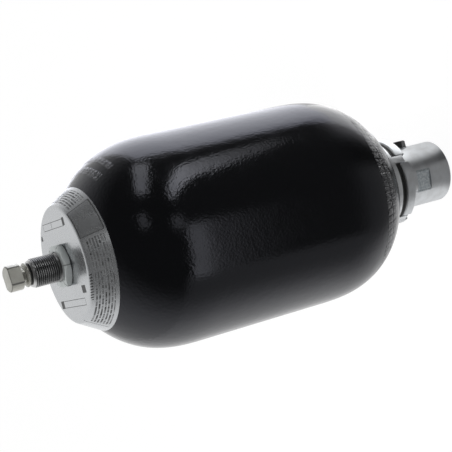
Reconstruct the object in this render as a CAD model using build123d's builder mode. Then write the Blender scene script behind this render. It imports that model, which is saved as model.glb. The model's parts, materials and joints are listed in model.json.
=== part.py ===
from build123d import *

import os
from math import asin, cos, degrees, pi, radians, sin, tan

# Bladder accumulator, about four litres, standing on the end face of its fluid port.
# Millimetres. +Z runs along the axis from the fluid port to the gas valve, and the
# origin is the centre of the port's end face.

os.makedirs("parts", exist_ok=True)

# ---------------------------------------------------------------- driving dimensions
# Clearances
thread_gap = 0.05            # radial, between a screwed pair modelled at one diameter
slip_gap = 0.12              # radial, between a piece and the bore that it slips into
running_gap = 0.05           # radial, round a sliding stem
soft_gap = 0.30              # between a soft piece and a curved wall
seat_gap = 0.06              # left between a closed valve and its seat
stop_gap = 0.04              # left between a moving piece and its stop
press_gap = 0.02             # radial, round a pressed-in piece
overrun = 1.0                # how far a cutter runs past the metal

# Fluid port, turned from bar
port_radius = 26.3
port_length = 46.6           # from the end face to the slotted nut
shank_radius = 27.5          # fine thread for the slotted nut
flange_radius = 31.0
flange_height = 5.0
pipe_bore_radius = 19.5      # G1 1/4 tapping bore
pipe_bore_depth = 25.0
pipe_bore_runout = 3.2       # cone from the thread down to the passage
passage_radius = 17.5
port_edge = 1.2
wrench_flats = 49.6
flat_low = 21.7
flat_height = 14.5
flat_turn = 256.0
seat_width = 4.5             # radial width of the 45 degree valve seat
guide_wall_height = 8.0
guide_wall_below_seat = 37.0
guide_boss_radius = 9.8
flow_hole_radius = 3.6
flow_hole_count = 6

# Slotted nut, rubber dust ring and lugged spacer under the neck
nut_radius = 37.0
nut_height = 9.4
nut_bevel = 1.0
slot_count = 4
slot_width = 8.4
slot_depth = 5.0
slot_turn = 26.5
dust_ring_height = 5.0
dust_ring_inset = 0.7
dust_groove = 0.8
spacer_radius = 37.4
spacer_flange = 4.8
spacer_hub_radius = 31.0
spacer_spigot = 3.0
lug_side_gap = 0.9
lug_reach = 10.5
lug_end_rounding = 1.0
lug_inset = 0.4

# Seals in the neck's bore
backup_height = 2.0
seal_squeeze = 0.05
washer_height = 2.0
anti_ring_radius = 41.6
anti_ring_cover = 3.5
half_ring_radius = 34.0
half_ring_height = 4.5
half_ring_split = 1.0

# Shell, forged from tube with two spun ends
shell_radius = 84.0
shell_wall = 6.5
tube_length = 107.1
port_neck_radius = 36.8
port_bore_radius = 31.5
port_seat_bevel = 2.0
port_dome_reach = 103.2
port_neck_length = 15.13     # of its bore, from the end face to the seat inside
port_dome_fullness = 3.125
port_dome_taper = 1.0754
gas_neck_radius = 27.0
gas_bore_radius = 11.6
gas_seat_radius = 22.0
gas_dome_reach = 103.5
gas_dome_inner_reach = 85.0
gas_dome_fullness = 2.83
gas_dome_taper = 1.224
neck_bevel = 0.8

# Name plate, pressed from foil, held by the lock nut
plate_thickness = 0.5
plate_fold_radius = 45.0
plate_fold_rounding = 3.7
plate_rim_radius = 56.2
plate_rim_overhang = 0.6     # of the rim past the circle where it meets the shell

# Gas stem, its lock nut and the bladder
stem_radius = 11.1
stem_above_nut = 22.5
stem_bore_radius = 4.0
stem_end_bevel = 1.5
stem_end_bevel_height = 2.0
stem_flange_radius = 20.0
stem_flange_height = 4.0
lock_nut_flats = 32.0
lock_nut_height = 6.0
lock_nut_turn = 29.0
bladder_wall = 3.0
bladder_gap = 5.0
bladder_mouth_radius = 7.0
bladder_end_height = 50.0
bladder_tip_clearance = 4.5

# Gas valve and its seal cap
valve_radius = 6.5
valve_depth = 18.0
valve_pocket_run = 1.3
valve_seal_section = 0.65
valve_seal_radius = 7.75
collar_radius = 9.3
collar_height = 2.8
collar_low_bevel = 1.0
collar_low_bevel_height = 1.17
collar_high_bevel = 1.6
collar_high_bevel_height = 1.04
nipple_radius = 5.5
nipple_height = 9.7
nipple_bevel = 0.5
spring_chamber_radius = 3.0
spring_chamber_depth = 12.0
pin_bore_radius = 1.6
pin_radius = 0.8
pin_disc_radius = 2.6
pin_disc_height = 1.7
pin_seal_height = 0.5
pin_seal_inset = 0.1
pin_travel = 1.5
pin_recess = 0.7
retainer_height = 0.9
retainer_inset = 0.6
cap_radius = 9.9
cap_flats = 15.0
cap_turn = 282.0
cap_bevel = 0.8
cap_skirt_gap = 3.0
cap_gasket_height = 1.2
cap_crown = 2.4

# Poppet valve in the fluid port
poppet_travel = 9.0
poppet_stem_radius = 4.95
poppet_rim_height = 1.0
poppet_crown_height = 2.0
poppet_underside_radius = 17.6
bush_wall = 1.6
bush_flange_radius = 8.5
bush_flange_height = 1.5
damper_radius = 8.0
damper_height = 4.4
damper_bevel = 0.5
poppet_nut_flats = 13.0
poppet_nut_height = 6.5
poppet_stem_end = 1.6
poppet_stem_bevel = 0.8

# Vent screw in the side of the port
vent_height = 30.0
vent_thread_radius = 4.0
vent_thread_depth = 5.0
vent_hole_radius = 1.5
vent_face_distance = 24.6
vent_face_radius = 8.2
vent_head_flats = 13.0
vent_head_height = 6.2
vent_seal_height = 1.2
vent_seal_radius = 6.6
vent_tip_bevel = 1.0

# Wire springs
poppet_spring_wire = 0.9
poppet_spring_radius = 8.1
poppet_spring_turns = 6.5
pin_spring_wire = 0.24
pin_spring_radius = 2.1
pin_spring_turns = 6.5


# ---------------------------------------------------------------- heights that follow
def dome_radius(rise, radius, reach, fullness, taper):
    """Radius of a spun end at a given rise above the tube's edge."""
    return radius * (1 - (rise / reach) ** fullness) ** (1 / taper)


def dome_rise(width, radius, reach, fullness, taper):
    """Rise above the tube's edge at which a spun end has narrowed to a given radius."""
    return reach * (1 - (width / radius) ** taper) ** (1 / fullness)


inner_radius = shell_radius - shell_wall
port_outer_dome = (shell_radius, port_dome_reach, port_dome_fullness, port_dome_taper)
gas_outer_dome = (shell_radius, gas_dome_reach, gas_dome_fullness, gas_dome_taper)
gas_inner_dome = (inner_radius, gas_dome_inner_reach, gas_dome_fullness, gas_dome_taper)

nut_top = port_length + nut_height
dust_ring_top = nut_top + dust_ring_height
neck_face = dust_ring_top + spacer_flange
tube_low = neck_face + dome_rise(port_neck_radius, *port_outer_dome)
tube_high = tube_low + tube_length
gas_face = tube_high + dome_rise(gas_neck_radius, *gas_outer_dome)
port_seat_radius = port_bore_radius + port_seat_bevel
port_seat_height = neck_face + port_neck_length
port_dome_share = dome_rise(port_seat_radius, inner_radius, 1, port_dome_fullness, port_dome_taper)
port_dome_inner_reach = (tube_low - port_seat_height) / port_dome_share
port_inner_dome = (inner_radius, port_dome_inner_reach, port_dome_fullness, port_dome_taper)
gas_seat_height = tube_high + dome_rise(gas_seat_radius, *gas_inner_dome)

spigot_top = neck_face + spacer_spigot
backup_top = spigot_top + backup_height
seal_section = (port_bore_radius - shank_radius) / 2 - seal_squeeze
seal_centre = backup_top + seal_section
washer_low = seal_centre + seal_section
washer_top = washer_low + washer_height
half_ring_low = port_seat_height + port_seat_bevel + soft_gap
flange_low = half_ring_low + half_ring_height
flange_top = flange_low + flange_height
anti_ring_top = flange_low + anti_ring_cover

guide_wall_low = flange_top - guide_wall_below_seat
guide_wall_top = guide_wall_low + guide_wall_height
flow_hole_circle = (guide_boss_radius + passage_radius) / 2
guide_bore_radius = poppet_stem_radius + running_gap + bush_wall
bush_low = guide_wall_low - bush_flange_height

plate_top = gas_face + plate_thickness
lock_nut_top = plate_top + lock_nut_height
stem_top = lock_nut_top + stem_above_nut
stem_flange_low = gas_seat_height - stem_flange_height
collar_low = stem_top + 2 * valve_seal_section
collar_top = collar_low + collar_height
nipple_top = collar_top + nipple_height
cap_low = collar_top + cap_skirt_gap
cap_ceiling = nipple_top + cap_gasket_height
cap_top = cap_ceiling + cap_crown


# ---------------------------------------------------------------- shared shapes
def dome_line(direction, start, dome, end_radius, count=7):
    """Half outline of a spun end, from the tube's edge to end_radius."""
    top = dome_rise(end_radius, *dome)
    rises = [top * sin(pi / 2 * i / (count - 1)) for i in range(count)]
    points = [(dome_radius(rise, *dome), start + direction * rise) for rise in rises]
    slope = Vector(*points[-1]) - Vector(*points[-2])
    return Spline(*points, tangents=[(0, direction), (slope.X, slope.Y)])


def hexagon_body(base, flats, height, turn=0.0, low_bevel=True, high_bevel=True):
    """Hexagonal bar on a plane, with its corners turned off at either end."""
    corner = flats / 2 / cos(radians(30))
    outside = corner + overrun
    slope = overrun * tan(radians(30))
    drop = (corner - flats / 2) * tan(radians(30))
    low = drop if low_bevel else 0
    high = height - (drop if high_bevel else 0)
    with BuildSketch(base) as section:
        RegularPolygon(flats / 2, 6, major_radius=False, rotation=turn)
    extrude(section.sketch, amount=height)
    with BuildSketch(Plane(base.origin, x_dir=base.x_dir, z_dir=-base.y_dir)) as turned:
        with BuildLine():
            Polyline(
                (0, 0),
                (flats / 2 if low_bevel else outside, 0),
                (outside, low + slope if low_bevel else 0.4 * height),
                (outside, high - slope if high_bevel else 0.6 * height),
                (flats / 2 if high_bevel else corner + 1, height),
                (0, height),
                close=True,
            )
        make_face()
    revolve(turned.sketch, axis=Axis(base.origin, base.z_dir), mode=Mode.INTERSECT)


def ring(low, high, inner, outer):
    """Plain ring about the axis."""
    with BuildSketch(Plane.XY.offset(low)) as section:
        Circle(outer)
        Circle(inner, mode=Mode.SUBTRACT)
    extrude(section.sketch, amount=high - low)


def coil(low, high, radius, wire, turns):
    """Compression spring of round wire between two heights."""
    height = high - low - 2 * wire
    with BuildLine(Plane.XY.offset(low + wire)) as path:
        Helix(pitch=height / turns, height=height, radius=radius)
    with BuildSketch(Plane(path.line @ 0, z_dir=path.line % 0)) as section:
        Circle(wire)
    sweep(section.sketch, path=path.line, is_frenet=True)


# ---------------------------------------------------------------- shell
with BuildPart() as shell:
    with BuildSketch(Plane.XZ):
        with BuildLine():
            port_outside = dome_line(-1, tube_low, port_outer_dome, port_neck_radius)
            gas_outside = dome_line(1, tube_high, gas_outer_dome, gas_neck_radius)
            port_inside = dome_line(-1, tube_low, port_inner_dome, port_seat_radius)
            gas_inside = dome_line(1, tube_high, gas_inner_dome, gas_seat_radius)
            Line(port_outside @ 0, gas_outside @ 0)
            Line(port_inside @ 0, gas_inside @ 0)
            Polyline(
                port_outside @ 1,
                (port_bore_radius, neck_face),
                (port_bore_radius, port_seat_height - port_seat_bevel),
                port_inside @ 1,
            )
            Polyline(
                gas_outside @ 1,
                (gas_bore_radius, gas_face),
                (gas_bore_radius, gas_seat_height),
                gas_inside @ 1,
            )
        make_face()
    revolve(axis=Axis.Z)
    bore_mouth = shell.edges().filter_by(GeomType.CIRCLE).group_by(Axis.Z)[0].sort_by(SortBy.RADIUS)[0]
    chamfer(bore_mouth, length=neck_bevel)
shell.part.label = "shell"

# ---------------------------------------------------------------- fluid port
with BuildPart() as fluid_port:
    with BuildSketch(Plane.XZ):
        with BuildLine():
            Polyline(
                (pipe_bore_radius + port_edge, 0),
                (port_radius - port_edge, 0),
                (port_radius, port_edge),
                (port_radius, port_length),
                (shank_radius, port_length + shank_radius - port_radius),
                (shank_radius, flange_low),
                (flange_radius, flange_low),
                (flange_radius, flange_top),
                (passage_radius + seat_width, flange_top),
                (passage_radius, flange_top - seat_width),
                (passage_radius, pipe_bore_depth + pipe_bore_runout),
                (pipe_bore_radius, pipe_bore_depth),
                (pipe_bore_radius, port_edge),
                close=True,
            )
        make_face()
    revolve(axis=Axis.Z)
    ring(guide_wall_low, guide_wall_top, guide_bore_radius, passage_radius)
    with BuildSketch(Plane.XY.offset(guide_wall_top)):
        with PolarLocations(flow_hole_circle, flow_hole_count):
            Circle(flow_hole_radius)
    extrude(amount=-guide_wall_height, mode=Mode.SUBTRACT)
    with BuildSketch(Plane.XY.offset(flat_low)):
        Circle(port_radius + overrun)
        Rectangle(wrench_flats, 2 * (port_radius + overrun), rotation=flat_turn, mode=Mode.SUBTRACT)
    extrude(amount=flat_height, mode=Mode.SUBTRACT)
    with BuildSketch(Plane.YZ.offset(vent_face_distance)):
        with Locations((0, vent_height)):
            Circle(vent_face_radius)
    extrude(amount=port_radius - vent_face_distance + overrun, mode=Mode.SUBTRACT)
    with Locations(Plane((vent_face_distance, 0, vent_height), z_dir=(1, 0, 0))):
        Hole(vent_hole_radius, depth=vent_face_distance - passage_radius + overrun)
        Hole(vent_thread_radius + thread_gap, depth=vent_thread_depth)
fluid_port.part.label = "fluid_port"

# ---------------------------------------------------------------- slotted nut
with BuildPart() as slotted_nut:
    ring(port_length, nut_top, shank_radius + thread_gap, nut_radius)
    rims = slotted_nut.edges().filter_by(GeomType.CIRCLE).filter_by(lambda e: e.radius > shank_radius + 1)
    chamfer(rims, length=nut_bevel)
    with BuildSketch(Plane.XY.offset(port_length)):
        with PolarLocations(nut_radius, slot_count, start_angle=slot_turn):
            Rectangle(2 * slot_depth, slot_width)
    extrude(amount=nut_height, mode=Mode.SUBTRACT)
slotted_nut.part.label = "slotted_nut"

# ---------------------------------------------------------------- spacer with locking lugs
lug_width = slot_width - 2 * lug_side_gap
lug_inner_radius = nut_radius - slot_depth + soft_gap
with BuildPart() as spacer_ring:
    spacer_bore = shank_radius + slip_gap
    ring(nut_top, dust_ring_top, spacer_bore, spacer_hub_radius)
    ring(dust_ring_top, neck_face, spacer_bore, spacer_radius)
    ring(neck_face, spigot_top, spacer_bore, port_bore_radius - slip_gap)
    with BuildSketch(Plane.XY.offset(dust_ring_top)):
        with PolarLocations((lug_inner_radius + spacer_radius) / 2, slot_count, start_angle=slot_turn):
            Rectangle(spacer_radius - lug_inner_radius, lug_width)
        Circle(spacer_radius - lug_inset, mode=Mode.INTERSECT)
    extrude(amount=-lug_reach)
    lug_ends = spacer_ring.faces().filter_by(Axis.Z).group_by(Axis.Z)[0]
    fillet(lug_ends.edges(), radius=lug_end_rounding)
spacer_ring.part.label = "spacer_ring"

# ---------------------------------------------------------------- rubber dust ring
with BuildPart() as dust_ring:
    dust_outer = spacer_radius - dust_ring_inset
    dust_low = nut_top + seat_gap
    dust_high = dust_ring_top - seat_gap
    dust_middle = (dust_low + dust_high) / 2
    with BuildSketch(Plane.XZ):
        with BuildLine():
            Polyline(
                (spacer_hub_radius + slip_gap, dust_low),
                (dust_outer, dust_low),
                (dust_outer, dust_middle - dust_groove),
                (dust_outer - dust_groove, dust_middle),
                (dust_outer, dust_middle + dust_groove),
                (dust_outer, dust_high),
                (spacer_hub_radius + slip_gap, dust_high),
                close=True,
            )
        make_face()
    revolve(axis=Axis.Z)
    with BuildSketch(Plane.XY.offset(dust_low)):
        with PolarLocations(spacer_radius, slot_count, start_angle=slot_turn):
            Rectangle(2 * (spacer_radius - lug_inner_radius + soft_gap), lug_width + 2 * soft_gap)
    extrude(amount=dust_ring_height, mode=Mode.SUBTRACT)
dust_ring.part.label = "dust_ring"

# ---------------------------------------------------------------- seals in the neck
with BuildPart() as backup_ring:
    ring(spigot_top, backup_top, shank_radius + slip_gap, port_bore_radius - slip_gap)
backup_ring.part.label = "backup_ring"

with BuildPart() as port_o_ring:
    with BuildSketch(Plane.XZ):
        with Locations(((shank_radius + port_bore_radius) / 2, seal_centre)):
            Circle(seal_section)
    revolve(axis=Axis.Z)
port_o_ring.part.label = "port_o_ring"

with BuildPart() as seal_washer:
    ring(washer_low, washer_top, shank_radius + slip_gap, port_bore_radius - slip_gap)
seal_washer.part.label = "seal_washer"

# ---------------------------------------------------------------- anti-extrusion ring
anti_ring_bore = shank_radius + soft_gap
anti_ring_rim = tube_low - dome_rise(anti_ring_radius, *port_inner_dome) + 2 * soft_gap
with BuildPart() as anti_extrusion_ring:
    with BuildSketch(Plane.XZ):
        with BuildLine():
            Polyline(
                (anti_ring_bore, washer_top),
                (port_bore_radius - soft_gap, washer_top),
                (port_bore_radius - soft_gap, port_seat_height - port_seat_bevel + soft_gap),
                (port_seat_radius - soft_gap, port_seat_height + soft_gap),
                (anti_ring_radius, anti_ring_rim),
                (anti_ring_radius - anti_ring_cover, anti_ring_top),
                (flange_radius + soft_gap, anti_ring_top),
                (flange_radius + soft_gap, flange_low),
                (half_ring_radius, flange_low),
                (half_ring_radius, half_ring_low),
                (anti_ring_bore, half_ring_low),
                close=True,
            )
        make_face()
    revolve(axis=Axis.Z)
anti_extrusion_ring.part.label = "anti_extrusion_ring"

# Two steel half rings, moulded into the rubber, that carry the port's flange
with BuildPart() as half_rings:
    ring(half_ring_low, flange_low, anti_ring_bore, half_ring_radius)
    with BuildSketch(Plane.XY.offset(half_ring_low)):
        Rectangle(half_ring_split, 2 * (half_ring_radius + overrun))
    extrude(amount=half_ring_height, mode=Mode.SUBTRACT)
half_rings.part.label = "half_rings"

# ---------------------------------------------------------------- poppet valve, open
seat_slope = passage_radius - (flange_top - seat_width)
underside_closed = poppet_underside_radius - seat_slope + seat_gap
poppet_under = underside_closed + poppet_travel
poppet_edge_radius = passage_radius + seat_width
poppet_edge = poppet_under + poppet_edge_radius - poppet_underside_radius
poppet_top = poppet_edge + poppet_rim_height + poppet_crown_height
crown_radius = (poppet_edge_radius**2 + poppet_crown_height**2) / (2 * poppet_crown_height)
crown_angle = degrees(asin(poppet_edge_radius / crown_radius))
damper_top = bush_low - stop_gap
damper_low = damper_top - damper_height
poppet_nut_low = damper_low - poppet_nut_height
poppet_low = poppet_nut_low - poppet_stem_end

with BuildPart() as poppet:
    with BuildSketch(Plane.XZ):
        with BuildLine():
            Polyline(
                (0, poppet_top),
                (0, poppet_low),
                (poppet_stem_radius - poppet_stem_bevel, poppet_low),
                (poppet_stem_radius, poppet_low + poppet_stem_bevel),
                (poppet_stem_radius, poppet_under),
                (poppet_underside_radius, poppet_under),
                (poppet_edge_radius, poppet_edge),
                (poppet_edge_radius, poppet_edge + poppet_rim_height),
            )
            CenterArc((0, poppet_top - crown_radius), crown_radius, 90, -crown_angle)
        make_face()
    revolve(axis=Axis.Z)
poppet.part.label = "poppet"

with BuildPart() as guide_bush:
    bush_bore = poppet_stem_radius + running_gap
    ring(bush_low, guide_wall_low, bush_bore, bush_flange_radius)
    ring(guide_wall_low, guide_wall_top, bush_bore, guide_bore_radius)
guide_bush.part.label = "guide_bush"

with BuildPart() as poppet_spring:
    coil(guide_wall_top, poppet_under, poppet_spring_radius, poppet_spring_wire, poppet_spring_turns)
poppet_spring.part.label = "poppet_spring"

with BuildPart() as damping_sleeve:
    ring(damper_low, damper_top, poppet_stem_radius + thread_gap, damper_radius)
    chamfer(damping_sleeve.edges().filter_by(GeomType.CIRCLE).group_by(Axis.Z)[0], length=damper_bevel)
damping_sleeve.part.label = "damping_sleeve"

with BuildPart() as poppet_nut:
    hexagon_body(Plane.XY.offset(poppet_nut_low), poppet_nut_flats, poppet_nut_height, high_bevel=False)
    with Locations((0, 0, damper_low)):
        Hole(poppet_stem_radius + thread_gap)
poppet_nut.part.label = "poppet_nut"

# ---------------------------------------------------------------- vent screw
vent_seal_face = vent_face_distance + vent_seal_height
with BuildPart() as vent_screw:
    vent_plane = Plane((vent_seal_face, 0, vent_height), x_dir=(0, 0, 1), z_dir=(1, 0, 0))
    hexagon_body(vent_plane, vent_head_flats, vent_head_height, low_bevel=False)
    with BuildSketch(vent_plane):
        Circle(vent_thread_radius)
    extrude(amount=-(vent_seal_height + vent_thread_depth - stop_gap))
    tip = vent_screw.edges().filter_by(GeomType.CIRCLE).group_by(Axis.X)[0]
    chamfer(tip, length=vent_tip_bevel)
vent_screw.part.label = "vent_screw"

with BuildPart() as vent_seal:
    with BuildSketch(Plane((vent_face_distance, 0, vent_height), z_dir=(1, 0, 0))):
        Circle(vent_seal_radius)
        Circle(vent_thread_radius + slip_gap, mode=Mode.SUBTRACT)
    extrude(amount=vent_seal_height)
vent_seal.part.label = "vent_seal"

# ---------------------------------------------------------------- gas stem and bladder
with BuildPart() as valve_stem:
    with BuildSketch(Plane.XZ):
        with BuildLine():
            Polyline(
                (stem_bore_radius, stem_flange_low),
                (stem_flange_radius, stem_flange_low),
                (stem_flange_radius, gas_seat_height),
                (stem_radius, gas_seat_height),
                (stem_radius, stem_top - stem_end_bevel_height),
                (stem_radius - stem_end_bevel, stem_top),
                (valve_radius + thread_gap, stem_top),
                (valve_radius + thread_gap, stem_top - valve_depth - valve_pocket_run),
                (stem_bore_radius, stem_top - valve_depth - valve_pocket_run),
                close=True,
            )
        make_face()
    revolve(axis=Axis.Z)
valve_stem.part.label = "valve_stem"

bladder_radius = inner_radius - bladder_gap
bladder_dome = (bladder_radius, gas_dome_inner_reach - bladder_gap, gas_dome_fullness, gas_dome_taper)
bladder_high = stem_flange_low - dome_rise(stem_flange_radius, *bladder_dome)
bladder_tip = poppet_top + bladder_tip_clearance
bladder_low = bladder_tip + bladder_end_height
lining_radius = bladder_radius - bladder_wall
lining_dome = (lining_radius, bladder_dome[1] - bladder_wall, gas_dome_fullness, gas_dome_taper)
lining_top = stem_flange_low - bladder_wall
lining_top_radius = dome_radius(lining_top - bladder_high, *lining_dome)
with BuildPart() as bladder:
    with BuildSketch(Plane.XZ):
        with BuildLine():
            bag_outside = dome_line(1, bladder_high, bladder_dome, stem_flange_radius)
            bag_inside = dome_line(1, bladder_high, lining_dome, lining_top_radius)
            bag_centre = (0, bladder_low)
            lining_height = bladder_end_height - bladder_wall
            bag_end = EllipticalCenterArc(bag_centre, bladder_radius, bladder_end_height, 270)
            bag_lining = EllipticalCenterArc(bag_centre, lining_radius, lining_height, 270)
            Line(bag_end @ 1, bag_outside @ 0)
            Line(bag_lining @ 1, bag_inside @ 0)
            Line(bag_end @ 0, bag_lining @ 0)
            Polyline(
                bag_outside @ 1,
                (bladder_mouth_radius, stem_flange_low),
                (bladder_mouth_radius, lining_top),
                bag_inside @ 1,
            )
        make_face()
    revolve(axis=Axis.Z)
bladder.part.label = "bladder"

# ---------------------------------------------------------------- name plate and lock nut
plate_bore_radius = stem_radius + slip_gap
plate_rim_seat = plate_rim_radius - plate_rim_overhang
plate_rim = tube_high + dome_rise(plate_rim_seat, *gas_outer_dome) + soft_gap
with BuildPart() as name_plate:
    with BuildSketch(Plane.XZ):
        with BuildLine():
            FilletPolyline(
                (plate_bore_radius, plate_top),
                (plate_fold_radius, plate_top),
                (plate_rim_radius, plate_rim),
                radius=plate_fold_rounding,
            )
            offset(amount=plate_thickness, side=Side.RIGHT)
        make_face()
    revolve(axis=Axis.Z)
name_plate.part.label = "name_plate"

with BuildPart() as lock_nut:
    hexagon_body(Plane.XY.offset(plate_top), lock_nut_flats, lock_nut_height, turn=lock_nut_turn)
    with Locations((0, 0, lock_nut_top)):
        Hole(stem_radius + thread_gap)
lock_nut.part.label = "lock_nut"

# ---------------------------------------------------------------- gas valve
chamber_roof = stem_top - valve_depth + spring_chamber_depth
with BuildPart() as gas_valve_body:
    with BuildSketch(Plane.XZ):
        with BuildLine():
            Polyline(
                (spring_chamber_radius, stem_top - valve_depth),
                (valve_radius, stem_top - valve_depth),
                (valve_radius, collar_low),
                (collar_radius - collar_low_bevel, collar_low),
                (collar_radius, collar_low + collar_low_bevel_height),
                (collar_radius, collar_top - collar_high_bevel_height),
                (collar_radius - collar_high_bevel, collar_top),
                (nipple_radius, collar_top),
                (nipple_radius, nipple_top - nipple_bevel),
                (nipple_radius - nipple_bevel, nipple_top),
                (pin_bore_radius, nipple_top),
                (pin_bore_radius, chamber_roof),
                (spring_chamber_radius, chamber_roof),
                close=True,
            )
        make_face()
    revolve(axis=Axis.Z)
gas_valve_body.part.label = "gas_valve_body"

with BuildPart() as gas_valve_seal:
    with BuildSketch(Plane.XZ):
        with Locations((valve_seal_radius, stem_top + valve_seal_section)):
            Circle(valve_seal_section)
    revolve(axis=Axis.Z)
gas_valve_seal.part.label = "gas_valve_seal"

retainer_low = stem_top - valve_depth + retainer_inset
retainer_top = retainer_low + retainer_height
pin_seal_top = chamber_roof - stop_gap
disc_top = pin_seal_top - pin_seal_height
disc_low = disc_top - pin_disc_height
with BuildPart() as valve_pin:
    with BuildSketch(Plane.XZ):
        with BuildLine():
            Polyline(
                (0, retainer_low),
                (pin_radius, retainer_low),
                (pin_radius, disc_low),
                (pin_disc_radius, disc_low),
                (pin_disc_radius, disc_top),
                (pin_radius, disc_top),
                (pin_radius, nipple_top - pin_recess),
                (0, nipple_top - pin_recess),
                close=True,
            )
        make_face()
    revolve(axis=Axis.Z)
valve_pin.part.label = "valve_pin"

with BuildPart() as valve_pin_seal:
    ring(disc_top, pin_seal_top, pin_radius + running_gap, pin_disc_radius - pin_seal_inset)
valve_pin_seal.part.label = "valve_pin_seal"

with BuildPart() as pin_spring_retainer:
    ring(retainer_low, retainer_top, pin_radius + running_gap, spring_chamber_radius - press_gap)
pin_spring_retainer.part.label = "pin_spring_retainer"

with BuildPart() as valve_pin_spring:
    coil(retainer_top, disc_low, pin_spring_radius, pin_spring_wire, pin_spring_turns)
valve_pin_spring.part.label = "valve_pin_spring"

# ---------------------------------------------------------------- seal cap
with BuildPart() as seal_cap:
    with BuildSketch(Plane.XY.offset(cap_low)):
        Circle(cap_radius)
    extrude(amount=cap_top - cap_low)
    chamfer(seal_cap.edges().group_by(Axis.Z)[-1], length=cap_bevel)
    with BuildSketch(Plane.XY.offset(cap_low)):
        Circle(cap_radius + overrun)
        Rectangle(cap_flats, 2 * (cap_radius + overrun), rotation=cap_turn, mode=Mode.SUBTRACT)
    extrude(amount=cap_top - cap_low, mode=Mode.SUBTRACT)
    with Locations(Plane((0, 0, cap_low), z_dir=(0, 0, -1))):
        Hole(nipple_radius + thread_gap, depth=cap_ceiling - cap_low)
seal_cap.part.label = "seal_cap"

with BuildPart() as cap_gasket:
    with BuildSketch(Plane.XY.offset(nipple_top)):
        Circle(nipple_radius - slip_gap)
    extrude(amount=cap_gasket_height)
cap_gasket.part.label = "cap_gasket"

# ---------------------------------------------------------------- written pieces
pieces = (
    shell,
    bladder,
    valve_stem,
    name_plate,
    lock_nut,
    gas_valve_body,
    gas_valve_seal,
    valve_pin,
    valve_pin_seal,
    valve_pin_spring,
    pin_spring_retainer,
    seal_cap,
    cap_gasket,
    fluid_port,
    slotted_nut,
    spacer_ring,
    dust_ring,
    backup_ring,
    port_o_ring,
    seal_washer,
    anti_extrusion_ring,
    half_rings,
    poppet,
    poppet_spring,
    guide_bush,
    damping_sleeve,
    poppet_nut,
    vent_screw,
    vent_seal,
)
for piece in pieces:
    export_step(piece.part, f"parts/{piece.part.label}.step")
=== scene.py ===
import json
from math import cos, pi, radians, sin, tan

import bpy
from mathutils import Matrix, Vector


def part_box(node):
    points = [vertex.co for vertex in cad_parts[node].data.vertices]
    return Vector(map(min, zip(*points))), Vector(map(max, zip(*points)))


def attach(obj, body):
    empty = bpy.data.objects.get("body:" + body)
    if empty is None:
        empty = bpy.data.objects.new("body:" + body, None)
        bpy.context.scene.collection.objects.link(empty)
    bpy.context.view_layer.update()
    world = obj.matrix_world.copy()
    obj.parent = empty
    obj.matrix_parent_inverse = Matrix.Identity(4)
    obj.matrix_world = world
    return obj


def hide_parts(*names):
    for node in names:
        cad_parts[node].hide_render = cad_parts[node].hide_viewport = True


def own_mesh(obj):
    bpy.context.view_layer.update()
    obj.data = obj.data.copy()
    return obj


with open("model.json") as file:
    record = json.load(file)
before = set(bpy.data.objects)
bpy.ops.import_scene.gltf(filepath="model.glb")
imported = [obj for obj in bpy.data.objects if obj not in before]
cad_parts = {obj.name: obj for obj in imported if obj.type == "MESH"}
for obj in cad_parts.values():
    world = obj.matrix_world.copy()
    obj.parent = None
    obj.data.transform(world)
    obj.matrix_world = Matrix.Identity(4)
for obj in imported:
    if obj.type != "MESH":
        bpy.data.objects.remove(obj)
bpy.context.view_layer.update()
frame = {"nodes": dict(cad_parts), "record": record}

MM = 0.001


# ---------------------------------------------------------------- sizes read from the solids
def low(node, axis=2):
    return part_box(node)[0][axis] / MM


def high(node, axis=2):
    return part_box(node)[1][axis] / MM


mounts = {mount["name"]: mount for mount in frame["record"]["mounts"]}
band = mounts["shell_band"]
SHELL_RADIUS = band["dims"]["r_mm"]
TUBE_MIDDLE = band["pos_m"][2] / MM
TUBE_LOW = TUBE_MIDDLE - band["dims"]["length_mm"] / 2
TUBE_HIGH = TUBE_MIDDLE + band["dims"]["length_mm"] / 2
NECK_FACE = low("shell")
GAS_FACE = high("shell")
WALL = 6.5

# Spun ends: reach, fullness and taper of each outline
PORT_DOME = (103.2, 3.125, 1.0754)
GAS_DOME = (103.5, 2.83, 1.224)
PORT_DOME_INSIDE = (85.0, 3.125, 1.0754)
GAS_DOME_INSIDE = (85.0, 2.83, 1.224)

# Directions round the axis, in degrees
PORT_FLAT_TURN = 256.0
CAP_FLAT_TURN = 282.0
LOCK_NUT_TURN = 29.0
LUG_TURN = 26.5
LUG_COUNT = 4

# Two flats milled on the port barrel, two on the sealing cap, and the height of the vent screw
PORT_FLAT_DISTANCE = 24.8
PORT_FLAT_HEIGHTS = (21.7, 36.2)
CAP_FLAT_DISTANCE = 7.5
VENT_HEIGHT = 30.0


# ---------------------------------------------------------------- modelling
def clear_selection():
    bpy.ops.object.select_all(action="DESELECT")


def only(piece):
    clear_selection()
    piece.select_set(True)
    bpy.context.view_layer.objects.active = piece


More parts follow.
